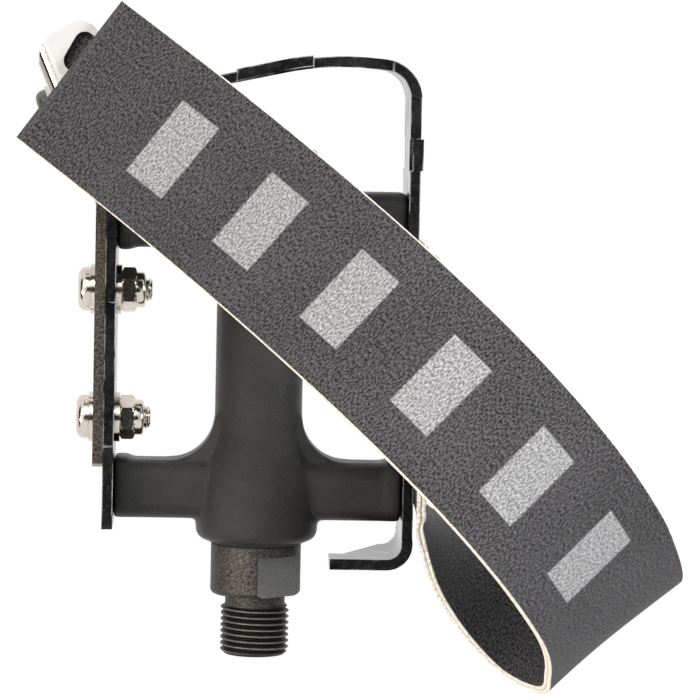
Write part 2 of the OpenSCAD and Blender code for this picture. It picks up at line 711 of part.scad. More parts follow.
// Carries children from the turned arm's own frame: x along it, y to its inner side
module on_arm() {
    translate([arm_foot[0], arm_foot[1], 0]) rotate([0, 0, 90 + bend_turn])
        mirror([0, 1, 0]) children();
}

// Section of the turned arm with the eye bent off it: x to the inner side, y up
module arm_section() {
    bend_out = eye_bend + bar_t;
    bend_c = [bend_out, eye_z - bend_out];
    polygon(concat([[0, -bar_h / 2], [bar_t, -bar_h / 2]], arc(bend_c, eye_bend, 180, 90, 6),
        [[reach_l, eye_low], [reach_l, eye_z]], arc(bend_c, bend_out, 90, 180, 8)));
}

// Outline of the turned arm seen from its outer side: x along it, y up
module arm_outline() {
    polygon([[-1, -bar_h / 2], [reach_l - 9, -bar_h / 2], [reach_l - 3, 3 - bar_h / 2],
        [reach_l, 4], [reach_l, eye_z + 1], [reach_l - 16, eye_z + 1], [-1, bar_h / 2]]);
}

module eye_slot() {
    translate(slot_c) rotate(slot_turn) {
        square([slot_l - slot_w, slot_w], center = true);
        for (x = [-1, 1]) translate([x * (slot_l - slot_w) / 2, 0]) circle(d = slot_w);
    }
}

module front_bracket() {
    nose_r = 1.5;
    root = 0.9 * bar_t * tan(bend_turn / 2);
    color([0.78, 0.77, 0.75]) difference() {
        union() {
            translate([-bar_out, 0, 0]) rotate([90, 0, 90]) linear_extrude(bar_t) {
                translate([bar_end_y + nose_r, -bar_h / 2])
                    square([bend_y - bar_end_y - nose_r, bar_h]);
                translate([bar_end_y, nose_r - bar_h / 2]) square([nose_r, bar_h - 2 * nose_r]);
                for (z = [-1, 1]) translate([bar_end_y + nose_r, z * (bar_h / 2 - nose_r)])
                    circle(r = nose_r);
            }
            translate([-bar_out + bar_t, bend_y, -bar_h / 2])
                linear_extrude(bar_h) polygon(concat([[0, -0.01]],
                    [for (a = [180, 180 - bend_turn / 2, 180 - bend_turn]) dir(a) * bar_t]));
            intersection() {
                on_arm() translate([-root, 0, 0]) rotate([90, 0, 90])
                    linear_extrude(reach_l + 8) arm_section();
                union() {
                    on_arm() translate([0, -1, 0]) rotate([90, 0, 0]) mirror([0, 0, 1])
                        linear_extrude(eye_bend + bar_t + 1) arm_outline();
                    translate([0, 0, eye_low - bar_t]) linear_extrude(2 * bar_t + 1)
                        polygon(disc_outline(eye_discs));
                }
            }
        }
        translate([0, 0, eye_low - 1]) linear_extrude(bar_t + 2) eye_slot();
        for (y = bolt_ys) rod_x(bolt_hole_r, -bar_out - 1, -cage_out + 1, y, 0);
        at_eye(0) cylinder(r = bolt_hole_r, h = washer_t + bar_t + 1);
    }
}

// Strap: a swept ribbon whose lower ply parts from it under the eye and is bolted to the bracket

// Square rod across the lower ply, with its middle at p
module ply_rod(p) {
    translate(p) rotate(atan2(front_edge[1], front_edge[0]))
        cube([ply_w, ply_core, ply_core], center = true);
}

module tongue() {
    inner = bar_t + strap_gap;
    tab_low = eye_bolt_z - tab_below;
    mid_z = eye_low - strap_gap - ply_t / 2;
    run = unit([bow_pt[0] - front_pt[0], bow_pt[1] - front_pt[1], 0]);
    exit = [front_pt[0], front_pt[1], mid_z] + run * exit_l;
    half = [front_edge[0], front_edge[1]] * ply_w / 2;
    flat_exit = [exit[0], exit[1]];
    on_arm() translate([eye_bolt_u - tab_l / 2, inner, tab_low])
        cube([tab_l, ply_t, mid_z - tab_low]);
    translate([0, 0, mid_z - ply_t / 2]) linear_extrude(ply_t) polygon(disc_outline([
        [arm_foot - arm_out * (inner + ply_t) + arm_dir * (eye_bolt_u - tab_l / 2 + 1), ply_inset],
        [flat_exit + half, ply_inset], [flat_exit - half, ply_inset],
        [eye_discs[2][0], eye_discs[2][1] - 1], [eye_discs[3][0], eye_discs[3][1] - inner - 0.4]]));
    hull() {
        ply_rod(exit);
        ply_rod(spline(strap_points, join_t));
    }
}

module strap() {
    count = floor(strap_last / ring_step);
    color([0.235, 0.225, 0.235]) difference() {
        union() {
            skin([for (i = [0:count]) strap_ring(min(i * ring_step, strap_last))]);
            tongue();
        }
        for (y = bolt_ys) rod_x(bolt_hole_r, rear_x - strap_t, rear_x + strap_t, y, 0);
        at_eye(washer_t + bar_t) cylinder(r = bolt_hole_r, h = 3 * ply_t);
    }
}

pedal_body();
cage();
cage_screw_front_inboard();
cage_screw_front_outboard();
cage_screw_rear_inboard();
cage_screw_rear_outboard();
spindle();
inboard_cup();
outboard_cup();
inboard_balls();
outboard_balls();
bearing_cone();
lock_washer();
lock_nut();
dust_cap();
dust_seal();
strap();
front_bracket();
bracket_bolt_inboard();
bracket_bolt_outboard();
eye_bolt();
head_washer_inboard();
head_washer_outboard();
head_washer_eye();
nut_washer_inboard();
nut_washer_outboard();
nut_washer_eye();
bracket_nut_inboard();
bracket_nut_outboard();
eye_nut();
nut_ring_inboard();
nut_ring_outboard();
nut_ring_eye();
strap_clamp();
strap_bolt_inboard();
strap_bolt_outboard();
strap_washer_inboard();
strap_washer_outboard();
strap_nut_inboard();
strap_nut_outboard();
strap_ring_inboard();
strap_ring_outboard();
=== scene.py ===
import json
import math

import bpy
from mathutils import Matrix, Vector, noise


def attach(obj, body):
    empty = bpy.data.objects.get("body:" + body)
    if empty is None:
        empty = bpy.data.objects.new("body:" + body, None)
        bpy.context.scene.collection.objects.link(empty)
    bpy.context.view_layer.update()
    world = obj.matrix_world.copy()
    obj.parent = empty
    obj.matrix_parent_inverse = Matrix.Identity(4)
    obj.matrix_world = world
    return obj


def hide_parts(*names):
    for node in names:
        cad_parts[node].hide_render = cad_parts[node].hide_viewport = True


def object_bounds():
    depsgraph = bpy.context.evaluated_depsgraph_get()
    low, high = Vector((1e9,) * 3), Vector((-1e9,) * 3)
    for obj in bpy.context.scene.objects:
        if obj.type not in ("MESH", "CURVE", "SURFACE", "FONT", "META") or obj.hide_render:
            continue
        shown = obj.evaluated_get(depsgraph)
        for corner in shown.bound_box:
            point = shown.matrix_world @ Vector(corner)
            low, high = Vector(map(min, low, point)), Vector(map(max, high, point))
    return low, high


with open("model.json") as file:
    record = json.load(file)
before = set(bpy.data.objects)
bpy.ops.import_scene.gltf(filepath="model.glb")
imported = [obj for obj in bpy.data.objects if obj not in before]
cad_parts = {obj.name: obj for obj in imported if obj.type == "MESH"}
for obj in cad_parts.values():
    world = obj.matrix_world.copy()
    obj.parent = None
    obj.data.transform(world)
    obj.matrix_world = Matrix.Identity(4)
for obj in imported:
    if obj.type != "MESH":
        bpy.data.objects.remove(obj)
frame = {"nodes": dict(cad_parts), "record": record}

cad_low, cad_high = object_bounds()
nodes = frame["nodes"]
MM = 0.001


# Camera: above the outboard end, the picture's upper side toward +Y

cam_place = Vector((-0.0129, 0.1117, 0.776))
cam_aim = Vector((0.0188, 0.0532, 0.0))
cam_up = Vector((-0.021, 1.0, 0.0))
cam_data = bpy.data.cameras.new("camera")
cam_data.lens = 192.3
cam_data.sensor_width = 36.0
cam_data.clip_start, cam_data.clip_end = 0.05, 20.0
camera = bpy.data.objects.new("camera", cam_data)
bpy.context.scene.collection.objects.link(camera)
cam_back = (cam_place - cam_aim).normalized()
cam_right = cam_up.cross(cam_back).normalized()
camera.matrix_world = (Matrix.Translation(cam_place)
                       @ Matrix((cam_right, cam_back.cross(cam_right), cam_back)).transposed().to_4x4())
bpy.context.scene.camera = camera
bpy.context.scene.view_settings.view_transform = "Standard"


# Node graph helper

class Graph:
    """A material with its shader, and short calls that add and link nodes."""

    def __init__(self, name, **shader_values):
        self.material = bpy.data.materials.new(name)
        self.material.use_nodes = True
        self.tree = self.material.node_tree
        self.shader = self.tree.nodes["Principled BSDF"]
        for socket, value in shader_values.items():
            self.shader.inputs[socket.replace("_", " ")].default_value = value

    def add(self, kind, settings=None, **sockets):
        node = self.tree.nodes.new("ShaderNode" + kind)
        for key, value in (settings or {}).items():
            setattr(node, key, value)
        for key, value in sockets.items():
            self.put(node.inputs[key.replace("_", " ")], value)
        return node

    def put(self, socket, value):
        if isinstance(value, bpy.types.NodeSocket):
            self.tree.links.new(value, socket)
        else:
            socket.default_value = value

    def math(self, operation, *values):
        node = self.tree.nodes.new("ShaderNodeMath")
        node.operation = operation
        for socket, value in zip(node.inputs, values):
            self.put(socket, value)
        return node.outputs[0]

    def place(self):
        return self.add("TexCoord").outputs["Object"]

    def noise(self, scale, detail=3.0, vector=None, roughness=0.5):
        node = self.add("TexNoise", Scale=scale, Detail=detail, Roughness=roughness)
        self.put(node.inputs["Vector"], vector or self.place())
        return node.outputs["Fac"]

    def ramp(self, value, low, high, a=0.0, b=1.0):
        node = self.add("MapRange", {"clamp": True})
        for key, v in (("Value", value), ("From Min", low), ("From Max", high), ("To Min", a), ("To Max", b)):
            self.put(node.inputs[key], v)
        return node.outputs[0]

    def mix(self, share, a, b):
        node = self.add("Mix", {"data_type": "RGBA"})
        self.put(node.inputs["Factor"], share)
        self.put(node.inputs["A"], a)
        self.put(node.inputs["B"], b)
        return node.outputs["Result"]

    def bump(self, height, distance, strength=1.0, normal=None):
        node = self.add("Bump", Strength=strength, Distance=distance)
        self.put(node.inputs["Height"], height)
        if normal:
            self.put(node.inputs["Normal"], normal)
        return node.outputs["Normal"]

    def wear(self, **sockets):
        for key, value in sockets.items():
            self.put(self.shader.inputs[key.replace("_", " ")], value)
        return self.material


def rgb(*v):
    return (v[0], v[1], v[2], 1.0)


# Metals, paints and plastics

def painted_graph(name, dark, light, rough, grain_scale, grain_depth, shine=0.5):
    """Graph of a grainy paint with its roughness and bump set, and its colour still to be put on."""
    g = Graph(name, Metallic=0.0, IOR=1.5, Specular_IOR_Level=shine)
    patches = g.noise(90.0, 4.0)
    grain = g.noise(grain_scale, 4.0, roughness=0.6)
    specks = g.ramp(g.noise(1500.0, 2.0), 0.68, 0.74)
    colour = g.mix(g.ramp(patches, 0.35, 0.7), rgb(*dark), rgb(*light))
    colour = g.mix(g.math("MULTIPLY", g.ramp(grain, 0.48, 0.68), 0.7), colour, rgb(*(2.2 * c for c in light)))
    colour = g.mix(g.math("MULTIPLY", specks, 0.12), colour, rgb(0.22, 0.22, 0.22))
    g.wear(Roughness=g.ramp(patches, 0.3, 0.7, rough - 0.06, rough + 0.08), Normal=g.bump(grain, grain_depth))
    return g, colour


def painted_metal(*settings):
    g, colour = painted_graph(*settings)
    return g.wear(Base_Color=colour)


def edge_highlight_paint(*settings):
    """Gloss black with a painted highlight in places along the plate's edges, for the light that the edges catch."""
    g, under = painted_graph(*settings)
    agree = g.add("VectorMath", {"operation": "DOT_PRODUCT"})
    g.put(agree.inputs[0], g.add("NewGeometry").outputs["True Normal"])
    g.put(agree.inputs[1], g.add("Bevel", {"samples": 4}, Radius=0.0004).outputs["Normal"])
    edge = g.ramp(agree.outputs["Value"], 0.99, 0.93)
    # Painted highlight: the plate's edges are lightened to grey in patches, for the light that they catch.
    edge_highlight = g.math("MULTIPLY", edge, g.ramp(g.noise(140.0, 4.0), 0.44, 0.56))
    return g.wear(Base_Color=g.mix(edge_highlight, under, rgb(0.45, 0.45, 0.44)))


def plated_metal(name, colour, shade, rough):
    g = Graph(name, Metallic=1.0)
    patches = g.noise(260.0, 5.0, roughness=0.65)
    fine = g.noise(2600.0, 2.0)
    base = g.mix(g.ramp(patches, 0.35, 0.7), rgb(*colour), rgb(*shade))
    return g.wear(Base_Color=base, Roughness=g.ramp(fine, 0.3, 0.7, rough * 0.75, rough * 1.35),
                  Normal=g.bump(fine, 0.00002))


def turned_steel(name, colour, shade, rough, pitch):
    g = Graph(name, Metallic=1.0)
    place = g.place()
    along = g.add("SeparateXYZ", Vector=place).outputs["Y"]
    rings = g.add("TexNoise", {"noise_dimensions": "1D"}, W=g.math("DIVIDE", along, pitch), Scale=1.0,
                  Detail=3.0).outputs["Fac"]
    patches = g.noise(300.0, 4.0)
    base = g.mix(g.ramp(patches, 0.3, 0.75), rgb(*colour), rgb(*shade))
    return g.wear(Base_Color=base, Roughness=g.ramp(rings, 0.2, 0.8, rough * 0.8, rough * 1.25),
                  Normal=g.bump(rings, 0.00003))


def spindle_black():
    """Blackened steel with brown grain; the wrench flats are painted a lighter grey, a painted reflection of the light
    that they face.
    """
    g = Graph("spindle_steel", Metallic=0.8)
    normal = g.add("SeparateXYZ", Vector=g.add("NewGeometry").outputs["True Normal"])
    place = g.add("SeparateXYZ", Vector=g.place())
    turn = math.radians(38)
    facing = g.math("ADD", g.math("MULTIPLY", normal.outputs["X"], math.sin(turn)),
                    g.math("MULTIPLY", normal.outputs["Z"], math.cos(turn)))
    y = place.outputs["Y"]
    # Mask of the two wrench flats, which are painted a lighter grey below as a painted reflection.
    flat = g.math("MULTIPLY", g.ramp(g.math("ABSOLUTE", facing), 0.997, 0.9985),
                  g.math("MULTIPLY", g.ramp(y, 0.0018, 0.0019), g.ramp(y, 0.01045, 0.0104)))
    across = g.math("SQRT", g.math("ADD", g.math("POWER", place.outputs["X"], 2.0),
                                   g.math("POWER", place.outputs["Z"], 2.0)))
    # Masks for painted shade in the thread's roots and a painted highlight along its crests.
    root_shade = g.math("MULTIPLY", g.ramp(across, 0.00705, 0.0066), g.ramp(y, -0.0004, -0.0006))
    crest_highlight = g.math("MULTIPLY", g.ramp(across, 0.00695, 0.0071), g.ramp(y, -0.0004, -0.0006))
    grain = g.noise(3800.0, 4.0, roughness=0.7)
    patches = g.noise(2100.0, 3.0)
    dark = g.mix(g.ramp(g.math("ADD", patches, grain), 0.8, 1.25), rgb(0.012, 0.0115, 0.011), rgb(0.105, 0.099, 0.092))
    # Roots painted darker as painted shade, crests painted lighter as a painted highlight.
    dark = g.mix(g.math("MULTIPLY", root_shade, 0.9), dark, rgb(0.006, 0.006, 0.006))
    dark = g.mix(g.math("MULTIPLY", crest_highlight, 0.6), dark, rgb(0.26, 0.24, 0.22))
    # Painted reflection: the flats' lighter grey stands for the light that they mirror.
    flat_reflection = g.mix(g.ramp(grain, 0.35, 0.65), rgb(0.13, 0.13, 0.128), rgb(0.27, 0.27, 0.265))
    return g.wear(Base_Color=g.mix(flat, dark, flat_reflection), Roughness=g.ramp(grain, 0.3, 0.7, 0.38, 0.6),
                  Normal=g.bump(grain, 0.00009))


def soft_plastic(name, colour, shade, rough, grain=1800.0):
    g = Graph(name, IOR=1.47)
    patches = g.noise(150.0, 3.0)
    return g.wear(Base_Color=g.mix(g.ramp(patches, 0.3, 0.7), rgb(*colour), rgb(*shade)),
                  Roughness=g.ramp(patches, 0.3, 0.7, rough - 0.05, rough + 0.08),
                  Normal=g.bump(g.noise(grain, 2.0), 0.00003))


body_paint = painted_metal("body_paint", (0.013, 0.0128, 0.0125), (0.024, 0.023, 0.022), 0.35, 4200.0, 0.00018,
                           0.24)
# The cage's paint has painted highlights along its edges.
cage_paint = edge_highlight_paint("cage_paint", (0.006, 0.006, 0.007), (0.012, 0.012, 0.012), 0.16, 700.0, 0.00003, 0.36)
clamp_paint = painted_metal("clamp_paint", (0.02, 0.02, 0.022), (0.035, 0.035, 0.037), 0.38, 900.0, 0.00004)
spindle_steel = spindle_black()
bearing_steel = turned_steel("bearing_steel", (0.55, 0.55, 0.56), (0.62, 0.62, 0.62), 0.2, 0.0003)
nickel_steel = plated_metal("nickel_steel", (0.72, 0.67, 0.6), (0.6, 0.54, 0.46), 0.13)
dull_steel = plated_metal("dull_steel", (0.2, 0.18, 0.155), (0.1, 0.09, 0.078), 0.3)
zinc_steel = plated_metal("zinc_steel", (0.62, 0.6, 0.56), (0.5, 0.48, 0.44), 0.22)
screw_steel = plated_metal("screw_steel", (0.1, 0.1, 0.105), (0.16, 0.16, 0.16), 0.35)
ball_steel = plated_metal("ball_steel", (0.72, 0.72, 0.73), (0.66, 0.66, 0.67), 0.08)
cap_plastic = soft_plastic("cap_plastic", (0.02, 0.02, 0.021), (0.032, 0.032, 0.033), 0.45)
seal_rubber = soft_plastic("seal_rubber", (0.014, 0.014, 0.014), (0.022, 0.022, 0.022), 0.7)
nylon = soft_plastic("nylon", (0.72, 0.7, 0.6), (0.78, 0.76, 0.68), 0.4)


def bracket_chrome():
    g = Graph("bracket_chrome", Specular_IOR_Level=0.8)
    place = g.place()
    z = g.add("SeparateXYZ", Vector=place).outputs["Z"]
    up = g.add("SeparateXYZ", Vector=g.add("NewGeometry").outputs["Normal"]).outputs["Z"]
    sheared = g.math("MULTIPLY", g.ramp(z, 0.0125, 0.0135, 1.0, 0.0), g.ramp(g.math("ABSOLUTE", up), 0.8, 0.95))
    patches = g.noise(320.0, 4.0)
    streaks = g.noise(1900.0, 3.0)
    plate = g.mix(g.ramp(patches, 0.35, 0.7), rgb(0.84, 0.84, 0.83), rgb(0.78, 0.78, 0.76))
    # Colour by how the surface faces: slopes and bends get a painted brown shade and faces that lie flat a painted
    # darker grey, for how the light falls on them.
    steep = g.math("ABSOLUTE", up)
    plate = g.mix(g.ramp(steep, 0.25, 0.5), plate, rgb(0.4, 0.37, 0.33))
    plate = g.mix(g.ramp(steep, 0.9, 0.985), plate, rgb(0.68, 0.68, 0.675))
    cut = g.mix(g.ramp(streaks, 0.35, 0.65), rgb(0.035, 0.03, 0.026), rgb(0.14, 0.122, 0.1))
    rough = g.math("ADD", g.ramp(streaks, 0.3, 0.7, 0.07, 0.14), g.math("MULTIPLY", sheared, 0.3))
    depth = g.math("MULTIPLY", streaks, g.math("ADD", g.math("MULTIPLY", sheared, 0.9), 0.1))
    lying = g.ramp(g.math("ABSOLUTE", up), 0.985, 0.999, 0.95, 0.3)
    metal = g.math("MAXIMUM", lying, sheared)
    return g.wear(Base_Color=g.mix(sheared, plate, cut), Roughness=rough, Metallic=metal,
                  Normal=g.bump(depth, 0.00008))


# Webbing: UV runs in metres, first along the strap and then across it

def webbing(name, printed):
    g = Graph(name, Specular_IOR_Level=0.3, Sheen_Weight=0.06, Sheen_Roughness=0.5)
    uv = g.add("SeparateXYZ", Vector=g.add("UVMap", {"uv_map": "run"}).outputs["UV"])
    u, v = uv.outputs["X"], uv.outputs["Y"]
    # Short raised threads that lie askew to the strap, with loose fibre over them
    lean = math.radians(94)
    p = g.math("ADD", g.math("MULTIPLY", u, math.cos(lean)), g.math("MULTIPLY", v, math.sin(lean)))
    q = g.math("SUBTRACT", g.math("MULTIPLY", v, math.cos(lean)), g.math("MULTIPLY", u, math.sin(lean)))
    askew = g.add("CombineXYZ", X=g.math("MULTIPLY", p, 1450.0), Y=g.math("MULTIPLY", q, 3100.0)).outputs[0]
    crepe = g.add("TexNoise", Scale=1.0, Detail=2.0, Roughness=0.55, Vector=askew).outputs["Fac"]
    fuzz = g.noise(3400.0, 3.0, roughness=0.7)
    broad = g.noise(60.0, 3.0)
    height = g.math("ADD", g.math("MULTIPLY", crepe, 0.7), g.math("MULTIPLY", fuzz, 0.3))
    shade = g.ramp(g.math("ADD", height, g.math("MULTIPLY", broad, 0.06)), 0.475, 0.59)
    colour = g.mix(shade, rgb(0.001, 0.001, 0.001), rgb(0.078, 0.075, 0.08))
    if printed:
        # Plain blocks in one long row, worn to a speckle
        period = 0.0245
        cell = g.math("FRACT", g.math("DIVIDE", g.math("SUBTRACT", u, 0.021), period))
        inside = g.math("MULTIPLY", g.ramp(cell, 0.1, 0.115), g.ramp(cell, 0.52, 0.505))
        side = g.math("ADD", g.math("ABSOLUTE", v), g.math("MULTIPLY", g.math("SUBTRACT", crepe, 0.5), 0.0006))
        inside = g.math("MULTIPLY", inside, g.ramp(side, 0.0091, 0.0089))
        inside = g.math("MULTIPLY", inside, g.ramp(u, 0.02, 0.0202))
        inside = g.math("MULTIPLY", inside, g.ramp(u, 0.163, 0.1628))
        ink = g.mix(g.ramp(height, 0.42, 0.6), rgb(0.12, 0.12, 0.125), rgb(0.4, 0.4, 0.405))
        colour = g.mix(g.math("MULTIPLY", inside, g.ramp(fuzz, 0.3, 0.42)), colour, ink)
    # Painted sheen: the strap's front end is lightened where it curves away.
    end = g.ramp(u, 0.0016, 0.0008)
    colour = g.mix(g.math("MULTIPLY", end, 0.3), colour, rgb(0.09, 0.085, 0.09))
    return g.wear(Base_Color=colour, Roughness=g.ramp(fuzz, 0.3, 0.7, 0.62, 0.86),
                  Normal=g.bump(height, 0.0004, 0.9))


def cut_edge():
    g = Graph("strap_edge", Specular_IOR_Level=0.2, Sheen_Weight=0.2)
    uv = g.add("SeparateXYZ", Vector=g.add("UVMap", {"uv_map": "run"}).outputs["UV"])
    u, v = uv.outputs["X"], uv.outputs["Y"]
    threads = g.add("TexNoise", Scale=1.0, Detail=3.0, Vector=g.add("CombineXYZ", X=g.math("MULTIPLY", u, 2400.0),
                    Y=g.math("MULTIPLY", v, 700.0)).outputs[0]).outputs["Fac"]
    seam = g.ramp(g.math("ABSOLUTE", v), 0.00005, 0.00014)
    colour = g.mix(g.ramp(threads, 0.35, 0.6), rgb(0.62, 0.55, 0.45), rgb(0.95, 0.92, 0.85))
    colour = g.mix(seam, rgb(0.42, 0.36, 0.29), colour)
    rim = g.ramp(g.math("ABSOLUTE", v), 0.0009, 0.00098)
    colour = g.mix(g.math("MULTIPLY", rim, 0.5), colour, rgb(0.1, 0.09, 0.085))
    return g.wear(Base_Color=colour, Roughness=0.85, Normal=g.bump(threads, 0.00015))


strap_print = webbing("strap_print", True)
strap_plain = webbing("strap_plain", False)
strap_edge = cut_edge()
chrome = bracket_chrome()

FINISH = {
    "body_paint": body_paint, "cage_paint": cage_paint, "screw_steel": screw_steel,
    "spindle_steel": spindle_steel, "bearing_steel": bearing_steel, "ball_steel": ball_steel,
    "zinc_steel": zinc_steel, "cap_plastic": cap_plastic, "seal_rubber": seal_rubber,
    "strap_webbing": strap_plain, "bracket_chrome": chrome, "clamp_paint": clamp_paint,
    "nickel_steel": nickel_steel, "nylon": nylon,
}
for part in frame["record"]["subparts"]:
    shape = nodes[part["node"]]
    shape.data.materials.clear()
    shape.data.materials.append(FINISH[part["material_slot"]])


def soften(shape, width, angle=30.0, segments=2):
    """Rounds a CAD node's sharp edges a little, for the light that they catch."""
    for face in shape.data.polygons:
        face.use_smooth = True
    bevel = shape.modifiers.new("edges", "BEVEL")
    bevel.width = width
    bevel.segments = segments
    bevel.limit_method = "ANGLE"
    bevel.angle_limit = math.radians(angle)
    bevel.harden_normals = True
    bevel.use_clamp_overlap = True


def crease(shape, angle=32.0):
    """Smooth faces that stay parted at sharp edges, shaded by the size of each face."""
    for face in shape.data.polygons:
        face.use_smooth = True
    split = shape.modifiers.new("creases", "EDGE_SPLIT")
    split.split_angle = math.radians(angle)
    shape.modifiers.new("shading", "WEIGHTED_NORMAL")


for name, shape in nodes.items():
    if name in ("cage", "strap_clamp"):
        soften(shape, 0.00045, 30.0, 3)
    elif name in ("pedal_body", "strap", "spindle"):
        continue
    elif "bolt" in name or "nut" in name or "washer" in name or "balls" in name or "bracket" in name:
        crease(shape)
    else:
        soften(shape, 0.0002, 35.0, 1)


def new_piece(name, verts, faces, material, body, smooth=True):
    mesh = bpy.data.meshes.new(name)
    mesh.from_pydata([tuple(v) for v in verts], [], faces)
    mesh.validate()
    mesh.update()
    for face in mesh.polygons:
        face.use_smooth = smooth
    piece = bpy.data.objects.new(name, mesh)
    bpy.context.scene.collection.objects.link(piece)
    for m in material if isinstance(material, (list, tuple)) else [material]:
        mesh.materials.append(m)
    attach(piece, body)
    return piece


# Strap: the same middle line as the solid, swept with two plies and cut edges

def mix(a, b, t):
    return a + (b - a) * t


def pick(items, i):
    return items[max(0, min(len(items) - 1, i))]


def curve(items, t):
    i = min(int(math.floor(t)), len(items) - 2)
    s = t - i
    a, b, c, d = (pick(items, i + k) for k in (-1, 0, 1, 2))
    return b + (c - a) * (s / 2) + (a * 2 - b * 5 + c * 4 - d) * (s * s / 2) + (b * 3 - a - c * 3 + d) * (s ** 3 / 2)


STRAP_W, STRAP_T = 35.0, 2.0
STRAP_ARCH, STRAP_BOW = 29.0, 13.3
LEG_STEPS, LAST_FREE = 8, 12.5
front_pt = Vector((-39.41, 110.13, 20.1))
leave_pt = Vector((33.3, 18.0, 1.5))
fold_pt = leave_pt + Vector((36.2, -9.0, 35.6))
chord = (fold_pt - front_pt)
chord.z = 0.0
chord.normalize()
bow_pt = mix(front_pt, fold_pt, 0.71) + Vector((-chord.y, chord.x, 0.0)) * STRAP_BOW
front_edge, fold_edge = Vector((-0.62, -0.78, 0.0)), Vector((-0.74, -0.62, 0.26))


def leg_point(t):
    p = mix(mix(front_pt, bow_pt, t), mix(bow_pt, fold_pt, t), t)
    return Vector((p.x, p.y, mix(front_pt.z, fold_pt.z, t) + STRAP_ARCH * math.sin(math.pi * t ** 1.1)))


strap_points = [leg_point(i / LEG_STEPS) for i in range(LEG_STEPS + 1)]
strap_points += [leave_pt + Vector((a * 39.0, b, c)) for a, b, c in (
    (1.01, -18, 23.3), (0.95, -21, 13), (0.755, -18.3, 6), (0.525, -11.8, 4.5), (0.26, -6, 1.8), (0.07, -0.7, 0.4),
    (0.014, 3, 0.1))]
strap_points += [Vector((33.3, y, 1.5)) for y in (25.0, 38.4, 65.0, 76.0)]
strap_edges = [mix(front_edge, fold_edge, i / LEG_STEPS) for i in range(LEG_STEPS + 1)]
strap_edges += [Vector(v) for v in ((-0.79, -0.53, 0.31), (-0.68, -0.64, 0.36), (-0.635, -0.68, 0.366),
                                    (-0.58, -0.63, 0.52), (-0.36, -0.33, 0.86), (-0.13, -0.03, 0.98), (-0.02, 0, 1))]
strap_edges += [Vector((0.0, 0.0, 1.0))] * 4


def strap_profile():
    """Points across the strap, as (across, through), round both faces and both cut edges."""
    w, t = STRAP_W / 2, STRAP_T / 2
    across = [-w + 0.25] + [(-w + 0.6) + (2 * w - 1.2) * k / 30 for k in range(31)] + [w - 0.25]
    rim = [(w, t - 0.12), (w + 0.02, 0.55), (w, 0.12), (w - 0.3, 0.0), (w, -0.12), (w + 0.02, -0.55),
           (w, -(t - 0.12))]
    return ([(a, t) for a in across] + rim + [(-a, -t) for a in across]
            + [(-a, -b) for a, b in rim])


def strap_frame(t):
    step, last = 0.02, len(strap_points) - 1
    p = curve(strap_points, t)
    along = (curve(strap_points, min(t + step, last)) - curve(strap_points, max(t - step, 0.0))).normalized()
    edge = curve(strap_edges, t)
    edge = (edge - along * edge.dot(along)).normalized()
    return p, along, edge, edge.cross(along)


def build_strap():
    profile = strap_profile()
    n, last = len(profile), len(strap_points) - 1
    rim_n = 7
    face_n = (n - 2 * rim_n) // 2
    step = 0.05
    stations = [min(i * step, last) for i in range(int(last / step) + 1)]
    verts, run, s = [], [], 0.0
    before = None
    for t in stations:
        p, along, edge, face = strap_frame(t)
        s += (p - before).length if before else 0.0
        before = p
        free = min(1.0, max(0.0, (LAST_FREE - t) / 2.0))
        for k, (a, b) in enumerate(profile):
            wave = noise.noise(Vector((s * 0.08, a * 0.05, 3.0))) * 0.12 * free
            fray = noise.noise(Vector((s * 1.3, b * 1.5, 7.0 + math.copysign(2.0, a)))) * 0.05
            outer = abs(a) > STRAP_W / 2 - 0.3
            spread = math.copysign(abs(fray), a) if outer else 0.0
            q = p + edge * (a + spread) + face * (b + wave)
            verts.append(q * MM)
            run.append((s, a if abs(b) > STRAP_T / 2 - 0.05 else b))
    m = len(stations)
    faces, uvs, slots = [], [], []
    for i in range(m - 1):
        for j in range(n):
            k = (j + 1) % n
            quad = (i * n + j, (i + 1) * n + j, (i + 1) * n + k, i * n + k)
            on_top = j < face_n - 1
            on_low = face_n + rim_n <= j < 2 * face_n + rim_n - 1
            slots.append(0 if on_top else 1 if on_low else 2)
            value = []
            for q in quad:
                su, sv = run[q]
                if slots[-1] == 2:
                    sv = profile[q % n][1]
                else:
                    sv = profile[q % n][0]
                value.append((su * MM, sv * MM))
            faces.append(quad)
            uvs.append(value)
    for base, order in ((0, 1), ((m - 1) * n, -1)):
        for j in range(n // 2 - 1):
            quad = [base + j, base + j + 1, base + n - 2 - j, base + n - 1 - j]
            faces.append(tuple(quad[::order]))
            slots.append(2)
            uvs.append([(profile[q % n][0] * MM, profile[q % n][1] * MM) for q in quad[::order]])
    piece = new_piece("toe_strap", verts, faces, [strap_print, strap_plain, strap_edge], "pedal")
    layer = piece.data.uv_layers.new(name="run")
    for face, slot, value in zip(piece.data.polygons, slots, uvs):
        face.material_index = slot
        for loop, uv in zip(face.loop_indices, value):
            layer.data[loop].uv = uv
    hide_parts("strap")
    return piece, s


toe_strap, strap_run = build_strap()

# Lower ply: from the bolt on the bracket's arm, under the eye, and up to the strap's under face

arm_dir = Vector((-math.sin(math.radians(23)), math.cos(math.radians(23)), 0.0))
arm_in = Vector((math.cos(math.radians(23)), math.sin(math.radians(23)), 0.0))
arm_foot = Vector((-34.2, 83.0, 0.0))
ply_z = 15.5
leg_run = (bow_pt - front_pt)
leg_run.z = 0.0
leg_run.normalize()


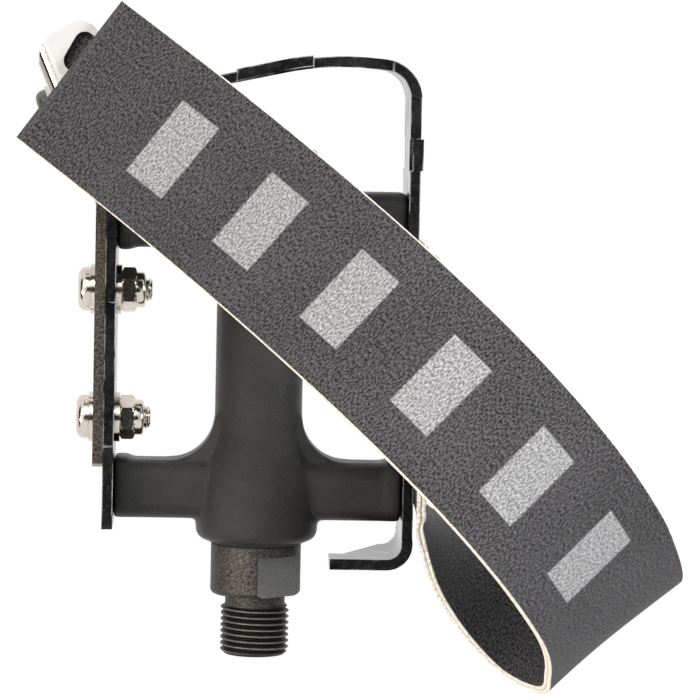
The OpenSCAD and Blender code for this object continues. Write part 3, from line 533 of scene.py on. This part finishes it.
def rounded_outline(discs):
    """Convex outline round a counter-clockwise list of (centre, radius)."""
    points = []
    for i, (c, r) in enumerate(discs):
        before, after = discs[i - 1], discs[(i + 1) % len(discs)]
        turns = []
        for a, b in ((before, (c, r)), ((c, r), after)):
            way = b[0] - a[0]
            turns.append(math.atan2(way.y, way.x) - math.acos((a[1] - b[1]) / way.length))
        while turns[1] < turns[0]:
            turns[1] += 2 * math.pi
        for k in range(13):
            angle = mix(turns[0], turns[1], k / 12)
            points.append(c + Vector((math.cos(angle), math.sin(angle))) * r)
    return points


def build_ply():
    leave = Vector((front_pt.x, front_pt.y, ply_z)) + leg_run * 11.5
    half = front_edge * 7.0
    inner = arm_foot + arm_in * 3.5
    verts, faces = [], []
    hem = rounded_outline([((inner + arm_dir * 15.0).xy, 0.5), ((leave + half).xy, 0.5), ((leave - half).xy, 0.5),
                           (Vector((-37.61, 116.04)), 3.05), (Vector((-40.61, 112.74)), 2.4)])
    verts += [Vector((q.x, q.y, ply_z)) for q in hem]
    faces.append(tuple(range(len(hem))))
    # Rise to the strap's under face, then the tab down to the bolt
    rise = [leave - leg_run, leave + (curve(strap_points, 1.15) - leave) * 0.02]
    rise += [mix(leave, curve(strap_points, 1.15), k / 8) for k in range(1, 9)]
    drop = [inner + arm_dir * 21.0 - arm_in * 0.1 + Vector((0.0, 0.0, z)) for z in (ply_z, 13.0, 10.0, 7.0, 4.0, 1.0)]
    for path, across, wide in ((rise, front_edge, 7.0), (drop, arm_dir, 7.0)):
        base = len(verts)
        for q in path:
            verts += [q + across * mix(-wide, wide, j / 6) for j in range(7)]
        for i in range(len(path) - 1):
            for j in range(6):
                k = base + i * 7 + j
                faces.append((k, k + 1, k + 8, k + 7))
    piece = new_piece("strap_lower_ply", [q * MM for q in verts], faces, [strap_plain], "pedal")
    layer = piece.data.uv_layers.new(name="run")
    for face in piece.data.polygons:
        for loop in face.loop_indices:
            q = verts[piece.data.loops[loop].vertex_index]
            layer.data[loop].uv = (0.02 + (q.dot(leg_run) + 100.0 - q.z * 0.3) * MM, q.dot(front_edge) * MM)
    thick = piece.modifiers.new("thick", "SOLIDIFY")
    thick.thickness = 0.9 * MM
    thick.offset = 0.0
    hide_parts("strap")
    return piece


lower_ply = build_ply()


# Turned pieces with cut threads: the spindle and the five bolts

def lathe(outline, turns, radius_at):
    """Skin of a turned outline of (station, radius or word) along Y, closed at both ends."""
    verts = [Vector((0.0, outline[0][0], 0.0))]
    for y, r in outline:
        for k in range(turns):
            a = 2 * math.pi * k / turns
            radius = radius_at(y, r, k / turns)
            verts.append(Vector((math.sin(a) * radius, y, math.cos(a) * radius)))
    faces = [(0, 1 + k, 1 + (k + 1) % turns) for k in range(turns)]
    for i in range(len(outline) - 1):
        for k in range(turns):
            a, b = 1 + i * turns + k, 1 + i * turns + (k + 1) % turns
            faces.append((a, a + turns, b + turns, b))
    end = 1 + (len(outline) - 1) * turns
    faces.append(tuple(end + k for k in range(turns)))
    return verts, faces


def thread_radius(y, share, pitch, minor, major):
    phase = (y / pitch + share) % 1.0
    return minor + (major - minor) * min(1.0, max(0.0, 2.6 * abs(phase - 0.5) - 0.14))


def finish_turned(piece, node):
    crease(piece)
    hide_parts(node)


def build_spindle():
    pitch, major, minor = 1.27, 7.144, 6.42
    outline = [(-10.7 + pitch / 12 * i, "thread") for i in range(int(10.7 / pitch * 12) + 1)]
    outline += [(0.0, 6.3), (0.02, 6.25), (1.88, 6.25), (1.9, 6.45), (1.92, 8.6), (2.05, 8.9), (2.35, 9.2),
                (2.7, 9.38), (2.75, 9.4), (10.4, 9.4), (10.45, 9.4), (11.2, 9.4), (12.3, 9.4), (12.48, 9.3),
                (12.56, 9.0), (12.57, 8.2), (18.3, 8.2), (21.8, 5.59), (77.5, 4.2), (77.5, 3.5), (91.8, 3.5),
                (92.3, 3.0)]

    def radius_at(y, r, share):
        if r != "thread":
            return r
        radius = min(thread_radius(y, share, pitch, minor, major), major - 0.95 + (y + 10.7) * 1.1)
        return mix(radius, 6.3, max(0.0, min(1.0, (y + 0.7) / 0.5)))

    verts, faces = lathe(outline, 144, radius_at)
    turn = math.radians(38.0)
    square = Vector((math.sin(turn), 0.0, math.cos(turn)))
    for q in verts:
        if 1.91 <= q.y <= 10.42:
            out = q.dot(square)
            if abs(out) > 7.5:
                q -= square * (out - math.copysign(7.5, out))
    piece = new_piece("pedal_spindle", [v * MM for v in verts], faces, [spindle_steel], "spindle")
    finish_turned(piece, "spindle")


def build_bolt(name, node, foot, along, length, finish=nickel_steel):
    """Pan-headed bolt whose head seats at foot and whose thread runs along the given way."""
    pitch, major, minor = 0.8, 2.5, 2.05
    outline = [(-1.2, "hex"), (-2.5, "hex"), (-2.6, "hex wide"), (-2.6, 2.2), (-2.6, 2.9)]
    outline += [(-0.91 - 1.69 * math.cos(math.radians(x)), 2.91 + 1.69 * math.sin(math.radians(x)))
                for x in range(12, 91, 13)]
    outline += [(-0.1, 4.6), (0.0, 4.52), (0.0, 2.5)]
    start = length - 4.4
    outline += [(start + pitch / 10 * i, "thread") for i in range(int((length - start) / pitch * 10) + 1)]
    outline += [(length, 1.9)]

    def radius_at(y, r, share):
        if r in ("hex", "hex wide"):
            across = 1.494 if r == "hex" else 1.56
            return across / math.cos(math.radians((share * 360.0) % 60.0 - 30.0))
        if r == "thread":
            return min(thread_radius(y, share, pitch, minor, major), 1.95 + (length - y) * 1.1)
        return r

    verts, faces = lathe(outline, 72, radius_at)
    turn = along.to_track_quat("Y", "Z").to_matrix()
    piece = new_piece(name, [(turn @ v + foot) * MM for v in verts], faces, [finish], "pedal")
    finish_turned(piece, node)


def build_nut(name, node, foot, along):
    """Lock nut: a chamfered hexagon whose corners point up and down the cage, and a round collar."""
    outline = [(0.0, 2.56)] + [(3.1 * i / 20, "nut") for i in range(21)]
    outline += [(3.12, 3.72), (4.3, 3.72), (4.62, 3.62), (4.86, 3.36), (4.98, 3.0), (5.0, 2.56)]

    def radius_at(y, r, share):
        if r != "nut":
            return r
        side = 4.0 / math.cos(math.radians((share * 360.0 + 30.0) % 60.0 - 30.0))
        return min(side, 4.0 + y * 1.5, 4.0 + (3.1 - y) * 1.5)

    verts, faces = lathe(outline, 144, radius_at)
    turn = along.to_track_quat("Y", "Z").to_matrix()
    piece = new_piece(name, [(turn @ v + foot) * MM for v in verts], faces, [nickel_steel], "pedal")
    finish_turned(piece, node)


build_spindle()
rearward, forward = Vector((1.0, 0.0, 0.0)), Vector((-1.0, 0.0, 0.0))
for end, y in (("inboard", 38.4), ("outboard", 65.0)):
    build_bolt("front_bolt_" + end, "bracket_bolt_" + end, Vector((-35.2, y, 0.0)), rearward, 12.7)
    build_nut("front_nut_" + end, "bracket_nut_" + end, Vector((-28.8, y, 0.0)), rearward)
    build_bolt("rear_bolt_" + end, "strap_bolt_" + end, Vector((36.6, y, 0.0)), forward, 14.1)
    build_nut("rear_nut_" + end, "strap_nut_" + end, Vector((28.8, y, 0.0)), forward)
eye_seat = arm_foot + arm_dir * 21.0 + Vector((0.0, 0.0, 6.0))
build_bolt("front_eye_bolt", "eye_bolt", eye_seat - arm_in, arm_in, 12.1, dull_steel)
build_nut("front_eye_nut", "eye_nut", eye_seat + arm_in * 4.8, arm_in)


# Body: the solid's own surface with cast blends in its corners

body = nodes["pedal_body"]
for face in body.data.polygons:
    face.use_smooth = True
cast = body.modifiers.new("cast", "REMESH")
cast.mode = "VOXEL"
cast.voxel_size = 0.0006
relax = body.modifiers.new("relax", "SMOOTH")
relax.factor = 0.5
relax.iterations = 8


# Floor, world and lamps

low = cad_low.z
# The floor lies far enough below for the whole pedal to turn over above it
floor_z = low - 0.085


def build_floor():
    g = Graph("floor", Roughness=0.9, Specular_IOR_Level=0.1)
    g.shader.inputs["Base Color"].default_value = rgb(0.9, 0.9, 0.9)
    path = g.add("LightPath")
    seen = g.math("MAXIMUM", path.outputs["Is Camera Ray"],
                  g.math("MAXIMUM", path.outputs["Is Glossy Ray"], path.outputs["Is Transmission Ray"]))
    glow = g.add("Emission", Strength=1.0)
    glow.inputs["Color"].default_value = rgb(1.0, 1.0, 1.0)
    blend = g.add("MixShader")
    g.put(blend.inputs[0], g.math("MULTIPLY", seen, 0.96))
    g.put(blend.inputs[1], g.shader.outputs[0])
    g.put(blend.inputs[2], glow.outputs[0])
    g.put(g.tree.nodes["Material Output"].inputs["Surface"], blend.outputs[0])
    size = 6.0
    mesh = bpy.data.meshes.new("floor")
    mesh.from_pydata([(x * size, y * size, floor_z) for x, y in ((-1, -1), (1, -1), (1, 1), (-1, 1))], [],
                     [(0, 1, 2, 3)])
    mesh.materials.append(g.material)
    floor = bpy.data.objects.new("floor", mesh)
    bpy.context.scene.collection.objects.link(floor)


build_floor()

world = bpy.data.worlds.new("studio")
bpy.context.scene.world = world
world.use_nodes = True
sky = world.node_tree
path = sky.nodes.new("ShaderNodeLightPath")
seen = sky.nodes.new("ShaderNodeMath")
seen.operation = "MAXIMUM"
mirrored = sky.nodes.new("ShaderNodeMath")
mirrored.operation = "MAXIMUM"
level = sky.nodes.new("ShaderNodeMapRange")
level.inputs["To Min"].default_value = 0.48
level.inputs["To Max"].default_value = 1.0
sky.links.new(path.outputs["Is Glossy Ray"], mirrored.inputs[0])
sky.links.new(path.outputs["Is Transmission Ray"], mirrored.inputs[1])
sky.links.new(path.outputs["Is Camera Ray"], seen.inputs[0])
sky.links.new(mirrored.outputs[0], seen.inputs[1])
sky.links.new(seen.outputs[0], level.inputs["Value"])
sky.links.new(level.outputs["Result"], sky.nodes["Background"].inputs["Strength"])
sky.nodes["Background"].inputs["Color"].default_value = rgb(1.0, 1.0, 1.0)


def lamp(name, place, aim, size, power, colour=(1.0, 1.0, 1.0)):
    data = bpy.data.lights.new(name, "AREA")
    data.shape = "RECTANGLE"
    data.size, data.size_y = size
    data.energy = power
    data.color = colour
    obj = bpy.data.objects.new(name, data)
    bpy.context.scene.collection.objects.link(obj)
    obj.location = place
    obj.rotation_mode = "QUATERNION"
    obj.rotation_quaternion = (Vector(aim) - Vector(place)).to_track_quat("-Z", "Y")


lamp("top", (-0.35, 0.6, 0.9), (0.02, 0.05, 0.0), (0.7, 0.5), 9.0)
lamp("side", (0.9, 0.2, 0.6), (0.02, 0.05, 0.0), (0.3, 0.5), 17.0)
lamp("low", (-0.8, -0.2, 0.6), (0.0, 0.05, 0.0), (0.25, 0.5), 8.0, (1.0, 0.88, 0.76))


def dark_card(name, corners):
    """Panel beside or above the stage: black to the metal that mirrors it, white to the camera."""
    g = Graph(name, Roughness=0.9, Specular_IOR_Level=0.1)
    g.shader.inputs["Base Color"].default_value = rgb(0.01, 0.01, 0.01)
    white = g.add("Emission", Color=rgb(1.0, 1.0, 1.0), Strength=1.0)
    blend = g.add("MixShader")
    g.put(blend.inputs[0], g.add("LightPath").outputs["Is Camera Ray"])
    g.put(blend.inputs[1], g.shader.outputs[0])
    g.put(blend.inputs[2], white.outputs[0])
    g.put(g.tree.nodes["Material Output"].inputs["Surface"], blend.outputs[0])
    mesh = bpy.data.meshes.new(name)
    mesh.from_pydata(corners, [], [(0, 1, 2, 3)])
    mesh.materials.append(g.material)
    card = bpy.data.objects.new(name, mesh)
    bpy.context.scene.collection.objects.link(card)


for name, x in (("card_front", -0.45), ("card_rear", 0.5)):
    dark_card(name, [(x, -0.3, low + 0.02), (x, 0.4, low + 0.02), (x, 0.4, low + 0.26), (x, -0.3, low + 0.26)])
dark_card("card_above", [(-0.26, -0.26, 1.3), (0.26, -0.26, 1.3), (0.26, 0.34, 1.3), (-0.26, 0.34, 1.3)])
